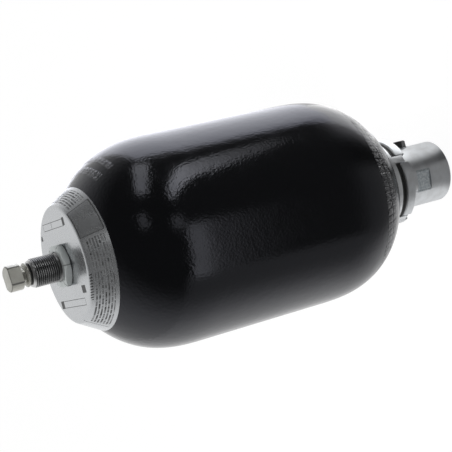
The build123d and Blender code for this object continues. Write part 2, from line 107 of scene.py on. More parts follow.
def turned(name, outline, facets=128, closed=True):
    """A turned piece: a circle drawn out ring by ring along radii and heights in mm."""
    clear_selection()
    from_pole = outline[0][0] == 0
    if from_pole:
        outline = outline[1:]
    radius, height = outline[0]
    fill = "TRIFAN" if from_pole else "NOTHING"
    bpy.ops.mesh.primitive_circle_add(
        vertices=facets, radius=radius * MM, location=(0, 0, height * MM), fill_type=fill
    )
    piece = bpy.context.object
    piece.name = piece.data.name = name
    bpy.ops.object.mode_set(mode="EDIT")
    bpy.ops.mesh.select_mode(type="EDGE")
    bpy.ops.mesh.select_all(action="SELECT")
    if from_pole:
        bpy.ops.mesh.region_to_loop()
    stations = outline[1:] + ([outline[0]] if closed else [])
    for next_radius, next_height in stations:
        bpy.ops.mesh.extrude_edges_move(TRANSFORM_OT_translate={"value": (0, 0, (next_height - height) * MM)})
        if next_radius == 0:
            bpy.ops.mesh.merge(type="CENTER")
        elif next_radius != radius:
            grow = next_radius / radius
            bpy.ops.transform.resize(value=(grow, grow, 1), center_override=(0, 0, 0))
        radius, height = next_radius, next_height
    tidy_mesh()
    bpy.ops.object.mode_set(mode="OBJECT")
    bpy.ops.object.transform_apply(location=True, rotation=True, scale=True)
    return piece


def tidy_mesh():
    """Merges doubled points and turns every face outwards, in edit mode."""
    bpy.ops.mesh.select_all(action="SELECT")
    bpy.ops.mesh.remove_doubles(threshold=0.002 * MM)
    bpy.ops.mesh.normals_make_consistent(inside=False)


def rounded(before, corner, after, radius, count=8):
    """Points of a round on an outline's corner."""
    before, corner, after = Vector(before), Vector(corner), Vector(after)
    to_before = (before - corner).normalized()
    to_after = (after - corner).normalized()
    half = to_before.angle(to_after) / 2
    reach = radius / tan(half)
    centre = corner + (to_before + to_after).normalized() * radius / sin(half)
    first = corner + to_before * reach - centre
    last = corner + to_after * reach - centre
    points = []
    for step in range(count + 1):
        spoke = first.normalized().slerp(last.normalized(), step / count).normalized()
        points.append(tuple(centre + spoke * radius))
    return points


def apply_modifier(piece, kind, **settings):
    only(piece)
    modifier = piece.modifiers.new(kind.title(), kind)
    for key, value in settings.items():
        setattr(modifier, key, value)
    bpy.ops.object.modifier_apply(modifier=modifier.name)


def combine(piece, tool, operation="DIFFERENCE"):
    apply_modifier(piece, "BOOLEAN", object=tool, operation=operation, solver="EXACT")
    bpy.data.objects.remove(tool)


def spoke(angle):
    """A level direction of length 1, at an angle in degrees from X."""
    return Vector((cos(radians(angle)), sin(radians(angle)), 0))


def block(size, place, turn):
    """A box of three sizes in mm, centred at a place and turned about Z."""
    clear_selection()
    bpy.ops.mesh.primitive_cube_add(size=1, location=[v * MM for v in place], rotation=(0, 0, radians(turn)))
    tool = bpy.context.object
    tool.scale = [v * MM for v in size]
    bpy.ops.object.transform_apply(location=True, rotation=True, scale=True)
    return tool


def rod(radius, depth, place, facets, tilt=0.0):
    """A cylinder in mm, centred at a place. It is upright, or tilted about Y by an angle in radians."""
    clear_selection()
    bpy.ops.mesh.primitive_cylinder_add(
        vertices=facets, radius=radius * MM, depth=depth * MM, location=[v * MM for v in place],
        rotation=(0, tilt, 0),
    )
    return bpy.context.object


def hexagon(name, flats, bottom, top, turn):
    """An upright hexagonal bar with one corner at a turn in degrees, and its radius at the corners."""
    corner = flats / 2 / cos(radians(30))
    clear_selection()
    bpy.ops.mesh.primitive_cylinder_add(
        vertices=6, radius=corner * MM, depth=(top - bottom) * MM, location=(0, 0, (top + bottom) / 2 * MM),
        rotation=(0, 0, radians(turn - 90.0)),
    )
    piece = bpy.context.object
    piece.name = piece.data.name = name
    bpy.ops.object.transform_apply(location=True, rotation=True, scale=True)
    return piece, corner


def at_lugs(piece, size, radius, height, operation="DIFFERENCE"):
    """Cuts or adds the same block at each lug of the neck."""
    for step in range(LUG_COUNT):
        angle = LUG_TURN + 360 / LUG_COUNT * step
        place = (radius * cos(radians(angle)), radius * sin(radians(angle)), height)
        combine(piece, block(size, place, angle), operation)


def bevel(piece, width, angle=30, segments=2):
    apply_modifier(
        piece, "BEVEL", width=width * MM, segments=segments, limit_method="ANGLE", angle_limit=radians(angle),
        use_clamp_overlap=True,
    )


def dress(piece, finish, slot, *nodes, smooth=32):
    """Gives a modelled piece its shading and finish. It rides on the housing and may replace nodes."""
    only(piece)
    bpy.ops.object.shade_smooth_by_angle(angle=radians(smooth))
    piece.data.materials.clear()
    piece.data.materials.append(finish.material)
    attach(piece, "housing")
    if nodes:
        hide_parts(*nodes)


# ---------------------------------------------------------------- finishes
class Reading:
    """A value that changes over a surface. Arithmetic with it adds Math nodes."""

    def __init__(self, finish, socket):
        self.finish = finish
        self.socket = socket

    def maths(self, operation, *values):
        return self.finish.maths(operation, self, *values)

    def __add__(self, other):
        return self.finish.maths("ADD", self, other)

    __radd__ = __add__

    def __sub__(self, other):
        return self.finish.maths("SUBTRACT", self, other)

    def __rsub__(self, other):
        return self.finish.maths("SUBTRACT", other, self)

    def __mul__(self, other):
        return self.finish.maths("MULTIPLY", self, other)

    __rmul__ = __mul__

    def __truediv__(self, other):
        return self.finish.maths("DIVIDE", self, other)

    def __rtruediv__(self, other):
        return self.finish.maths("DIVIDE", other, self)

    def __gt__(self, other):
        return self.finish.maths("GREATER_THAN", self, other)

    def __lt__(self, other):
        return self.finish.maths("LESS_THAN", self, other)

    def __abs__(self):
        return self.finish.maths("ABSOLUTE", self)


class Finish:
    """A material made of nodes round one surface shader."""

    def __init__(self, name, **constants):
        self.material = bpy.data.materials.new(name)
        self.material.use_nodes = True
        self.tree = self.material.node_tree
        self.surface = self.tree.nodes["Principled BSDF"]
        for key, value in constants.items():
            self.feed(key.replace("_", " ").title().replace("Ior", "IOR"), value)

    def node(self, kind, settings=None, sockets=None, out=0):
        made = self.tree.nodes.new("ShaderNode" + kind)
        for key, value in (settings or {}).items():
            setattr(made, key, value)
        for key, value in (sockets or {}).items():
            self.plug(made.inputs[key], value)
        return Reading(self, made.outputs[out])

    def plug(self, socket, value):
        if isinstance(value, Reading):
            self.tree.links.new(value.socket, socket)
        else:
            socket.default_value = value

    def feed(self, name, value):
        self.plug(self.surface.inputs[name], value)

    def maths(self, operation, *values):
        return self.node("Math", {"operation": operation}, dict(enumerate(values)))

    def place(self, turn=0.0):
        """Object coordinates in mm, turned about Z."""
        where = self.node("TexCoord", out="Object")
        return self.node("Mapping", {}, {"Vector": where, "Rotation": (0, 0, radians(turn)), "Scale": (1 / MM,) * 3})

    def parts(self, vector):
        split = self.node("SeparateXYZ", {}, {0: vector}).socket.node
        return [Reading(self, socket) for socket in split.outputs]

    def join(self, x, y):
        return self.node("CombineXYZ", {}, {0: x, 1: y})

    def noise(self, where, scale, detail=2.0):
        """Noise whose blotches are about scale mm across."""
        return self.node("TexNoise", {}, {"Vector": where, "Scale": 1 / scale, "Detail": detail})

    def chance(self, x, y):
        """One random number for each whole-number pair."""
        return self.node("TexWhiteNoise", {"noise_dimensions": "2D"}, {"Vector": self.join(x, y)}, out="Value")

    def floor(self, value):
        return self.maths("FLOOR", value)

    def radius(self, x, y):
        return self.maths("SQRT", x * x + y * y)

    def angle(self, across, along):
        """The angle in degrees whose tangent is one reading over the other."""
        return self.maths("ARCTAN2", across, along) * (180 / pi)

    def ramp(self, value, start, end, first=0.0, last=1.0):
        """A soft step from one value to another."""
        sockets = {"Value": value, "From Min": start, "From Max": end, "To Min": first, "To Max": last}
        return self.node("MapRange", {"interpolation_type": "SMOOTHSTEP"}, sockets)

    def between(self, value, start, end, soft=0.1):
        """1 inside a range and 0 outside it, with soft ends."""
        return self.ramp(value, start - soft, start + soft) * self.ramp(value, end - soft, end + soft, 1.0, 0.0)

    def mix(self, factor, first, second):
        return self.node("Mix", {"data_type": "RGBA"}, {0: factor, 6: first, 7: second}, out=2)

    def bump(self, height, distance):
        """Relief whose full height is a distance in mm."""
        self.feed("Normal", self.node("Bump", {}, {"Height": height, "Distance": distance * MM}))


def grey(level, cool=0.0):
    """A grey that leans towards blue by a share."""
    return (level * (1 - cool), level, level * (1 + cool), 1.0)


# Stamped rows round the shoulders: heights in mm, and the angles they cover on the gas end
PORT_STAMP = ((93.0, 99.0), (101.0, 107.0))
GAS_STAMP = ((311.5, 315.5), (321.0, 325.5))
GAS_STAMP_START = -32.0
GAS_STAMP_SPAN = 132.0
STAMP_PITCH = 4.4
STAMP_SHARE = (0.14, 0.86)
ROW_SOFTNESS = 0.6
STAMP_RELIEF = 2.6
PEEL_RELIEF = 0.13


def enamel_finish():
    """Deep black gloss paint with orange peel. Stamped marks show through it, and some of them carry a painted
    glint: a lighter grey base colour in place of a highlight.
    """
    finish = Finish("black_enamel", specular_ior_level=0.56, specular_tint=(0.86, 0.88, 1.0, 1.0))
    where = finish.place()
    x, y, z = finish.parts(where)
    peel = finish.noise(where, 1.9, 2.0) + finish.noise(where, 8.0, 1.0) * 0.7
    turn = finish.angle(y, x)
    step = turn / STAMP_PITCH
    spaced = finish.between(step - finish.floor(step), *STAMP_SHARE, 0.08)
    port_first, port_second, gas_first, gas_second = (
        finish.between(z, *heights, ROW_SOFTNESS) for heights in PORT_STAMP + GAS_STAMP
    )
    gas_turn = finish.maths("WRAP", turn - GAS_STAMP_START, 180.0, -180.0)
    gas_rows = (gas_first + gas_second) * (gas_turn > 0.0) * (gas_turn < GAS_STAMP_SPAN)
    rows = port_first + port_second + gas_rows
    strokes = finish.ramp(finish.noise(where, 1.7, 1.0), 0.44, 0.56)
    finish.bump(peel * PEEL_RELIEF + rows * spaced * strokes * STAMP_RELIEF, 1.0)
    black = finish.mix(finish.noise(where, 0.8, 3.0), grey(0.001, 0.1), grey(0.003, 0.1))
    # Painted glint: some stamped strokes get a lighter grey base colour, standing in for reflected light.
    painted_glint = rows * spaced * finish.between(finish.noise(where, 1.3, 1.0), 0.47, 0.55, 0.03)
    finish.feed("Base Color", finish.mix(painted_glint, black, grey(0.14, 0.02)))
    finish.feed("Roughness", finish.ramp(finish.noise(where, 14.0, 3.0), 0.3, 0.7, 0.1, 0.16))
    return finish


def metal_finish(name, colour, tarnish, roughness, grain=0.4, lathe=0.02, marks=None, **constants):
    """Turned or plated metal: fine lathe lines round the axis and faint clouds, under the marks given for a piece;
    on the port barrel, lock nut and sealing cap these include painted shade.
    """
    finish = Finish(name, **constants)
    where = finish.place()
    x, y, z = finish.parts(where)
    lines = finish.noise(finish.join(finish.radius(x, y) * 0.5, z), grain, 2.0)
    clouds = finish.noise(where, 7.0, 3.0)
    tone = finish.mix(finish.ramp(clouds, 0.3, 0.75), colour, tarnish)
    finish.feed("Base Color", marks(finish, where, tone) if marks else tone)
    finish.feed("Roughness", roughness * (0.8 + 0.4 * lines) + 0.06 * clouds)
    finish.bump(lines, lathe)
    return finish


def flat_parts(finish, where, turn):
    """Distance out to a pair of opposite flats, distance along them, and height, all in mm."""
    x, y, z = finish.parts(where)
    outward = abs(x * cos(radians(turn)) + y * sin(radians(turn)))
    sideways = abs(y * cos(radians(turn)) - x * sin(radians(turn)))
    return outward, sideways, z


def barrel_flats_and_painted_shade(finish, where, tone):
    """The milled flats: a mottled, bluer face, with painted shade as dark lines round its edges."""
    outward, sideways, z = flat_parts(finish, where, PORT_FLAT_TURN)
    bottom, top = PORT_FLAT_HEIGHTS
    near_flat = (outward < PORT_FLAT_DISTANCE + 0.15) * (outward > PORT_FLAT_DISTANCE - 0.3)
    on_flat = near_flat * finish.between(z, bottom, top)
    # Painted shade: a band round the border of each flat, darkened towards grey below.
    edge = 1.0 - (sideways < 7.9) * finish.between(z, bottom + 0.5, top - 0.5)
    mottle = finish.ramp(finish.noise(where, 1.6, 3.0), 0.35, 0.65)
    face = finish.mix(mottle, (0.50, 0.57, 0.62, 1), (0.80, 0.86, 0.88, 1))
    tone = finish.mix(0.75 * on_flat, tone, face)
    return finish.mix(0.35 * on_flat * edge, tone, grey(0.05))


def nut_painted_shade(finish, where, tone):
    """Painted shade on the lock nut: dark lines along its corners, and a painted contact shadow where it meets the
    plate.
    """
    x, y, z = finish.parts(where)
    turn = finish.angle(y, x) + (60.0 - LOCK_NUT_TURN)
    # Painted shade: a dark line along each corner of the hexagon.
    corner = abs(finish.maths("WRAP", turn, 30.0, -30.0)) < 1.6
    # Painted contact shadow: dark just above the nut's underside, where it sits on the plate.
    contact_shadow = finish.ramp(z, low("lock_nut") + 0.35, low("lock_nut") + 0.75, 1.0, 0.0)
    return finish.mix(finish.maths("MAXIMUM", 0.55 * corner, 0.7 * contact_shadow), tone, grey(0.05))


def cap_painted_shade(finish, where, tone):
    """Painted shade: dark lines round the edges of the sealing cap's two flats and round its end."""
    outward, sideways, z = flat_parts(finish, where, CAP_FLAT_TURN)
    # Painted shade along the edges of the flats, then along the rim of the end.
    edge = (outward > CAP_FLAT_DISTANCE - 0.5) * finish.between(sideways, 5.7, 7.0, 0.25)
    rim = finish.between(z, high("seal_cap") - 0.75, high("seal_cap") - 0.15)
    return finish.mix(finish.maths("MAXIMUM", 0.75 * edge, 0.5 * rim), tone, grey(0.05))


def stem_finish():
    """Dark thread whose chamfered end is turned bright."""
    finish = Finish("stem_steel", metallic=1.0)
    where = finish.place()
    z = finish.parts(where)[2]
    bright = finish.ramp(z, high("valve_stem") - 2.2, high("valve_stem") - 2.0)
    clouds = finish.noise(where, 5.0, 3.0)
    dark = finish.mix(clouds, grey(0.30, 0.01), grey(0.22, 0.0))
    finish.feed("Base Color", finish.mix(bright, dark, grey(0.68, 0.0)))
    finish.feed("Roughness", 0.24 + 0.1 * clouds)
    finish.bump(finish.noise(where, 1.0, 2.0), 0.01)
    return finish


def plain_finish(name, first, second, roughness, blotch=3.0, relief=0.02, **constants):
    """Rubber, wire and plastic: a close mottle with a little relief."""
    finish = Finish(name, **constants)
    where = finish.place()
    mottle = finish.noise(where, blotch, 3.0)
    finish.feed("Base Color", finish.mix(mottle, first, second))
    finish.feed("Roughness", roughness + 0.15 * mottle)
    finish.bump(finish.noise(where, blotch / 4, 2.0), relief)
    return finish


# Name plate: its print is turned so that the seam of the angles falls on the bare side.
# What the print covers is given as angles in degrees and as radii in mm.
PLATE_TURN = 80.0
FOLD_RADIUS = 45.0
PANEL = (10.0, 41.0)
PANEL_RADII = (46.0, 55.4)
LONG_ROWS = (-82.0, 7.0)
SHORT_ROWS = (45.0, 122.0)
ROW_RADII = (47.4, 54.7)
HEADING = (-50.0, -23.0)
HEADING_RADII = (45.3, 46.8)
END_LINE = -85.5
END_LINE_RADII = (44.5, 55.0)
ROW_PITCH = 1.12
BAR_PITCH = 0.62
WORD_PITCH = 2.4
SQUARE_PITCH = 2.3
MISSING_BARS = 0.18


def plate_finish():
    """Satin silver foil with rows of fine bars, empty boxes and one bare grey panel."""
    finish = Finish("silver_foil")
    where = finish.place()
    x, y, _ = finish.parts(where)
    turned_x, turned_y, _ = finish.parts(finish.place(PLATE_TURN))
    radius = finish.radius(x, y)
    turn = finish.angle(turned_y, turned_x)
    along = turn * radius * (pi / 180)

    # Rows of fine bars on the sloping rim
    row = (radius - ROW_RADII[0]) / ROW_PITCH
    row_number = finish.floor(row)
    in_row = finish.between(row - row_number, 0.16, 0.72, 0.14)
    bars = finish.chance(finish.floor(along / BAR_PITCH), row_number) > MISSING_BARS
    fade = 0.55 + 0.45 * finish.chance(finish.floor(along / WORD_PITCH), row_number)
    spread = finish.maths("MAXIMUM", finish.between(turn, *LONG_ROWS, 0.3), finish.between(turn, *SHORT_ROWS, 0.3))
    fine = in_row * bars * fade * spread * finish.between(radius, *ROW_RADII)

    # A heading of small squares by the fold
    step = along / SQUARE_PITCH
    squares = finish.between(step - finish.floor(step), 0.22, 0.68, 0.08)
    heading = squares * finish.between(radius, *HEADING_RADII) * finish.between(turn, *HEADING, 0.2)

    # Hairlines round the panel and at the start of the long rows
    def hairline(angle, radii):
        across = abs(turn - angle) * radius * (pi / 180)
        return (across < 0.3) * finish.between(radius, *radii)

    def arc(at, angles):
        return (abs(radius - at) < 0.26) * finish.between(turn, *angles, 0.2)

    lines = hairline(PANEL[0], PANEL_RADII) + hairline(PANEL[1], PANEL_RADII) + hairline(END_LINE, END_LINE_RADII)
    lines = lines + arc(PANEL_RADII[0], PANEL) + arc(PANEL_RADII[1], PANEL)

    # Boxes and small filled marks on the flat face: the middle in X and Y, then the sizes in X and Y
    def filled(middle_x, middle_y, width, length):
        in_x = finish.between(x, middle_x - width / 2, middle_x + width / 2)
        return in_x * finish.between(y, middle_y - length / 2, middle_y + length / 2)

    def boxed(middle_x, middle_y, width, length, line=0.42):
        inside = filled(middle_x, middle_y, width - 2 * line, length - 2 * line)
        return filled(middle_x, middle_y, width, length) - inside

    flat = radius < FOLD_RADIUS - 2.5
    boxes = boxed(31.2, 2.0, 5.6, 45.0) + boxed(-29.8, -1.0, 5.6, 50.0) + filled(31.2, 5.5, 5.6, 0.7)
    marks = filled(31.8, -21.0, 6.0, 4.6) + filled(23.9, 33.6, 3.8, 4.0) + filled(-29.8, 24.0, 6.0, 6.4)
    marks = marks + filled(-20.5, -28.6, 5.8, 7.6)
    print_on = finish.maths("MINIMUM", fine + heading + 0.9 * lines + (0.9 * boxes + 0.9 * marks) * flat, 1.0)
    panel = finish.between(turn, *PANEL, 0.2) * finish.between(radius, *PANEL_RADII)

    clouds = finish.noise(where, 10.0, 3.0)
    foil = finish.mix(clouds, grey(0.62, 0.03), grey(0.70, 0.02))
    foil = finish.mix(0.22 * panel, foil, grey(0.26, 0.03))
    finish.feed("Base Color", finish.mix(0.96 * print_on, foil, grey(0.02)))
    finish.feed("Roughness", 0.22 + 0.1 * clouds + 0.25 * print_on)
    finish.feed("Metallic", 0.84 - 0.7 * print_on)
    finish.bump(finish.noise(where, 5.0, 2.0), 0.03)
    return finish


ZINC_PLATING = grey(0.73, 0.03), grey(0.63, 0.02), 0.33
enamel = enamel_finish()
zinc = metal_finish("zinc_steel", *ZINC_PLATING, metallic=0.86)
barrel_zinc = metal_finish("barrel_zinc", *ZINC_PLATING, metallic=0.86, marks=barrel_flats_and_painted_shade)
pale_zinc = metal_finish("pale_zinc", grey(0.84, 0.02), grey(0.72, 0.02), 0.36, 0.6, 0.05, metallic=0.84)
vent_steel = metal_finish("vent_steel", grey(0.06, 0.01), grey(0.035), 0.36, metallic=0.5)
nut_zinc = metal_finish(
    "nut_zinc", (0.72, 0.76, 0.76, 1), (0.62, 0.66, 0.65, 1), 0.34, metallic=0.4, marks=nut_painted_shade
)
cap_nickel = metal_finish(
    "cap_nickel", (0.62, 0.62, 0.565, 1), (0.52, 0.51, 0.46, 1), 0.3, 0.3, 0.012, metallic=0.35, marks=cap_painted_shade
)
nickel = metal_finish(
    "nickel_steel", (0.53, 0.53, 0.49, 1), (0.40, 0.39, 0.35, 1), 0.2, 0.3, 0.012, metallic=0.6
)
black_steel = metal_finish("black_steel", grey(0.25, 0.01), grey(0.18, 0.0), 0.27, metallic=1.0)
foil = plate_finish()
stem_steel = stem_finish()
seal_rubber = plain_finish("seal_rubber", grey(0.010), grey(0.022), 0.32, 2.0, 0.03)
bladder_rubber = plain_finish("bladder_rubber", grey(0.03), grey(0.05), 0.6, 5.0, 0.06)
spring_steel = plain_finish("spring_steel", grey(0.42), grey(0.30), 0.25, 1.5, 0.01, metallic=1.0)
brass = metal_finish("valve_brass", (0.72, 0.55, 0.26, 1), (0.55, 0.40, 0.18, 1), 0.25, metallic=1.0)
ptfe = plain_finish("white_ptfe", grey(0.78), grey(0.70), 0.45)

finishes = {
    "black_enamel": enamel, "silver_foil": foil, "zinc_steel": zinc, "nickel_steel": nickel,
    "black_steel": black_steel, "spring_steel": spring_steel, "valve_brass": brass,
    "bladder_rubber": bladder_rubber, "seal_rubber": seal_rubber, "white_ptfe": ptfe,
}
for subpart in frame["record"]["subparts"]:
    node = frame["nodes"][subpart["node"]]
    node.data.materials.clear()
    node.data.materials.append(finishes[subpart["material_slot"]].material)


# ---------------------------------------------------------------- shell
def dome_radius(rise, width, dome):
    """Radius of a spun end at a rise above the tube's edge."""
    reach, fullness, taper = dome
    return width * (1 - (rise / reach) ** fullness) ** (1 / taper)


def dome_rise(radius, width, dome):
    """Rise above the tube's edge at which a spun end has a radius."""
    reach, fullness, taper = dome
    return reach * (1 - (radius / width) ** taper) ** (1 / fullness)


def dome_points(start, direction, width, end_radius, dome, count):
    """Outline of a spun end from the tube's edge, with its points closer near the neck."""
    top = dome_rise(end_radius, width, dome)
    rises = [top * sin(pi / 2 * step / count) for step in range(count + 1)]
    return [(dome_radius(rise, width, dome), start + direction * rise) for rise in rises]


def painted_shell():
    inside = SHELL_RADIUS - WALL
    neck, gas_land = 36.8, 27.0
    neck_bore, stem_bore, chamfer = 31.5, 11.6, 0.8
    port_outside = dome_points(TUBE_LOW, -1, SHELL_RADIUS, neck, PORT_DOME, 56)
    gas_outside = dome_points(TUBE_HIGH, 1, SHELL_RADIUS, gas_land, GAS_DOME, 56)
    port_inside = dome_points(TUBE_LOW, -1, inside, 33.5, PORT_DOME_INSIDE, 12)
    gas_inside = dome_points(TUBE_HIGH, 1, inside, 22.0, GAS_DOME_INSIDE, 12)
    outline = port_outside[::-1] + gas_outside
    outline += [(stem_bore, GAS_FACE), (stem_bore, gas_inside[-1][1])] + gas_inside[::-1] + port_inside
    outline += [
        (neck_bore, port_inside[-1][1] - 2.0), (neck_bore, NECK_FACE + chamfer), (neck_bore + chamfer, NECK_FACE)
    ]
    piece = turned("painted_shell", outline, facets=288)
    dress(piece, enamel, "black_enamel", "shell", smooth=40)


# ---------------------------------------------------------------- gas end
def printed_plate():
    bottom, top = GAS_FACE, high("name_plate")
    rim_radius, rim = high("name_plate", 0), low("name_plate")
    thick = top - bottom
    bore = 11.22
    above = [(rim_radius - 0.05, rim + 0.25)]
    above += rounded((rim_radius, rim + 0.3), (FOLD_RADIUS + 0.3, top), (bore, top), 3.7)
    below = rounded((bore, bottom), (FOLD_RADIUS, bottom), (rim_radius - thick, rim), 3.2)
    outline = [(bore, bottom)] + below + [(rim_radius - thick, rim)] + above + [(bore, top)]
    piece = turned("printed_plate", outline, facets=192)
    dress(piece, foil, "silver_foil", "name_plate", smooth=30)


def lock_nut():
    bottom, top = low("lock_nut"), high("lock_nut")
    flats, bore = 32.0, 11.15
    face = flats / 2 - 0.6
    piece, corner = hexagon("hex_lock_nut", flats, bottom, top, LOCK_NUT_TURN)
    drop = (corner - face) * tan(radians(30))
    blank = turned("nut_blank", [
        (bore + 0.5, bottom), (face, bottom), (corner, bottom + drop), (corner, top - drop), (face, top),
        (bore + 0.7, top), (bore, top - 0.7), (bore, bottom + 0.5),
    ])
    combine(piece, blank, "INTERSECT")
    bevel(piece, 0.25, 25)
    dress(piece, nut_zinc, "zinc_steel", "lock_nut", smooth=25)


# A ridge's width at its root as a share of the pitch, and its width at the crest as a share of that
ROOT_SHARE = 0.95
CREST_SHARE = 0.2


def thread_ridge(name, root, crest, start, pitch, turns, finish, slot):
    """One helical ridge with sloping flanks, from its root radius out or in to its crest radius."""
    clear_selection()
    bpy.ops.mesh.primitive_plane_add(
        size=1, location=((root + crest) / 2 * MM, 0, start * MM), rotation=(pi / 2, 0, 0)
    )
    ridge = bpy.context.object
    ridge.name = ridge.data.name = name
    ridge.scale = (abs(crest - root) * MM, ROOT_SHARE * pitch * MM, 1)
    bpy.ops.object.transform_apply(location=True, rotation=True, scale=True)
    for vertex in ridge.data.vertices:
        vertex.select = abs(vertex.co.x - crest * MM) < 1e-6
    for part in (*ridge.data.edges, *ridge.data.polygons):
        part.select = False
    bpy.ops.object.mode_set(mode="EDIT")
    bpy.ops.mesh.select_mode(type="VERT")
    bpy.ops.transform.resize(value=(1, 1, CREST_SHARE))
    bpy.ops.mesh.select_all(action="SELECT")
    bpy.ops.mesh.delete(type="ONLY_FACE")
    bpy.ops.object.mode_set(mode="OBJECT")
    apply_modifier(
        ridge, "SCREW", axis="Z", angle=2 * pi, screw_offset=pitch * MM, iterations=turns, steps=72,
        render_steps=72,
    )
    bpy.ops.object.mode_set(mode="EDIT")
    bpy.ops.mesh.select_all(action="SELECT")
    bpy.ops.mesh.fill_holes(sides=4)
    tidy_mesh()
    bpy.ops.object.mode_set(mode="OBJECT")
    dress(ridge, finish, slot, smooth=30)


def threaded_stem():
    top = high("valve_stem")
    flange_low = low("valve_stem")
    seat = flange_low + 4.0
    nut_top = high("lock_nut")
    radius, core, flange = 11.1, 9.9, 20.0
    bore, counterbore, shelf = 4.0, 6.55, top - 19.3
    outline = [
        (bore, flange_low), (flange, flange_low), (flange, seat), (radius, seat), (radius, nut_top - 0.4),
        (core, nut_top + 0.5), (core, top - 2.4), (radius - 0.35, top - 1.9), (radius - 1.5, top),
        (counterbore, top), (counterbore, shelf), (bore, shelf),
    ]
    piece = turned("threaded_stem", outline)
    bevel(piece, 0.15)
    dress(piece, stem_steel, "black_steel", "valve_stem")

    pitch = 1.6
    turns = int((top - 2.6 - nut_top) / pitch)
    thread_ridge("stem_thread", core - 0.15, radius, nut_top + 0.8, pitch, turns, stem_steel, "black_steel")


def valve_collar():
    bottom, top = low("gas_valve_body"), high("gas_valve_body")
    collar_low = high("valve_stem") + 1.3
    collar_top = collar_low + 2.8
    outline = [
        (3.0, bottom), (6.5, bottom), (6.5, collar_low), (8.3, collar_low), (9.3, collar_low + 1.2),
        (9.3, collar_low + 1.7), (7.7, collar_top), (5.5, collar_top), (5.5, top - 0.5), (5.0, top), (1.6, top),
        (1.6, bottom + 12.0), (3.0, bottom + 12.0),
    ]
    piece = turned("valve_collar", outline)
    bevel(piece, 0.12)
    dress(piece, nickel, "nickel_steel", "gas_valve_body")


def sealing_cap():
    bottom, top = low("seal_cap"), high("seal_cap")
    radius, ceiling = 9.9, top - 2.4
    outline = [
        (0, ceiling), (5.55, ceiling), (5.55, bottom + 0.4), (5.95, bottom), (radius - 0.5, bottom),
        (radius, bottom + 0.5), (radius, top - 0.8), (radius - 0.8, top), (0, top),
    ]
    piece = turned("sealing_cap", outline, closed=False)
    bpy.ops.object.mode_set(mode="EDIT")
    for angle in (CAP_FLAT_TURN, CAP_FLAT_TURN - 180.0):
        outward = spoke(angle)
        bpy.ops.mesh.select_all(action="SELECT")
        bpy.ops.mesh.bisect(
            plane_co=outward * CAP_FLAT_DISTANCE * MM, plane_no=outward, clear_outer=True, use_fill=True
        )
    tidy_mesh()
    bpy.ops.object.mode_set(mode="OBJECT")
    bevel(piece, 0.3, 25, 3)
    dress(piece, cap_nickel, "nickel_steel", "seal_cap", smooth=25)


# ---------------------------------------------------------------- port end
PORT_THREAD_PITCH = 2.309
LUG_RADIUS = 37.0


def port_barrel():
    nut_low = low("slotted_nut")
    top = high("fluid_port")
    flange_low = top - 5.0
    skirt, body, flange = 26.3, 27.5, 31.0
    thread_bore, passage, bush_seat = 20.9, 17.5, 6.6
    wall_low = top - 37.0
    wall_high = wall_low + 8.0
    outline = [
        (20.7, 0), (25.6, 0), (skirt, 0.7), (skirt, nut_low), (body, nut_low + 1.2), (body, flange_low),
        (flange, flange_low), (flange, top), (22.0, top), (passage, top - 4.5), (passage, wall_high),
        (bush_seat, wall_high), (bush_seat, wall_low), (passage, wall_low), (passage, 28.2), (thread_bore, 25.4),
        (thread_bore, 1.4), (21.2, 0.5),
    ]
    piece = turned("port_barrel", outline)

    # Two flats
    flat_low, flat_high = PORT_FLAT_HEIGHTS
    for turn in (PORT_FLAT_TURN, PORT_FLAT_TURN - 180.0):
        centre = spoke(turn) * (PORT_FLAT_DISTANCE + 5.0)
        place = (centre.x, centre.y, (flat_low + flat_high) / 2)
        combine(piece, block((10, 60, flat_high - flat_low), place, turn))

    # Six flow holes round the guide bush
    flow = (9.8 + passage) / 2
    for step in range(6):
        angle = radians(60 * step)
        place = (flow * cos(angle), flow * sin(angle), wall_low + 4)
        combine(piece, rod(3.6, 10, place, 32))

    # Sink, threaded hole and drilling for the vent screw: radius, depth and middle of each
    for radius, depth, middle in ((8.2, 4.0, 26.6), (4.05, 12.0, 25.6), (1.5, 12.0, 20.5)):
        combine(piece, rod(radius, depth, (middle, 0, VENT_HEIGHT), 64, pi / 2))
    bevel(piece, 0.15, 35)
    dress(piece, barrel_zinc, "zinc_steel", "fluid_port", smooth=28)
    thread_ridge("port_thread", 21.05, 19.5, 2.6, PORT_THREAD_PITCH, 9, zinc, "zinc_steel")


def clamp_nut():
    bottom, top = low("slotted_nut"), high("slotted_nut")
    outline = [
        (28.3, bottom), (36.0, bottom), (LUG_RADIUS, bottom + 1.0), (LUG_RADIUS, top - 1.0), (36.0, top),
        (28.3, top), (27.55, top - 0.7), (27.55, bottom + 0.7),
    ]
    piece = turned("clamp_nut", outline)
    at_lugs(piece, (10.0, 8.4, 20.0), LUG_RADIUS, (top + bottom) / 2)
    bevel(piece, 0.3, 35)
    dress(piece, zinc, "zinc_steel", "slotted_nut", smooth=28)


def lug_spacer():
    bottom = high("slotted_nut")
    flange = high("dust_ring") + 0.06
    spigot = high("spacer_ring")
    lug_low, lug_inner = low("spacer_ring"), 32.3
    bore, sleeve, flange_radius, spigot_radius = 27.62, 31.0, 37.4, 31.38
    outline = [
        (bore, bottom), (sleeve, bottom), (sleeve, flange), (flange_radius, flange), (flange_radius, NECK_FACE),
        (spigot_radius, NECK_FACE), (spigot_radius, spigot), (bore, spigot),
    ]
    piece = turned("lug_spacer", outline)
    height = flange + 0.5 - lug_low
    size = (LUG_RADIUS - lug_inner, 6.6, height)
    at_lugs(piece, size, (lug_inner + LUG_RADIUS) / 2, lug_low + height / 2, "UNION")
    bevel(piece, 0.5, 35, 3)
    dress(piece, pale_zinc, "zinc_steel", "spacer_ring", smooth=28)


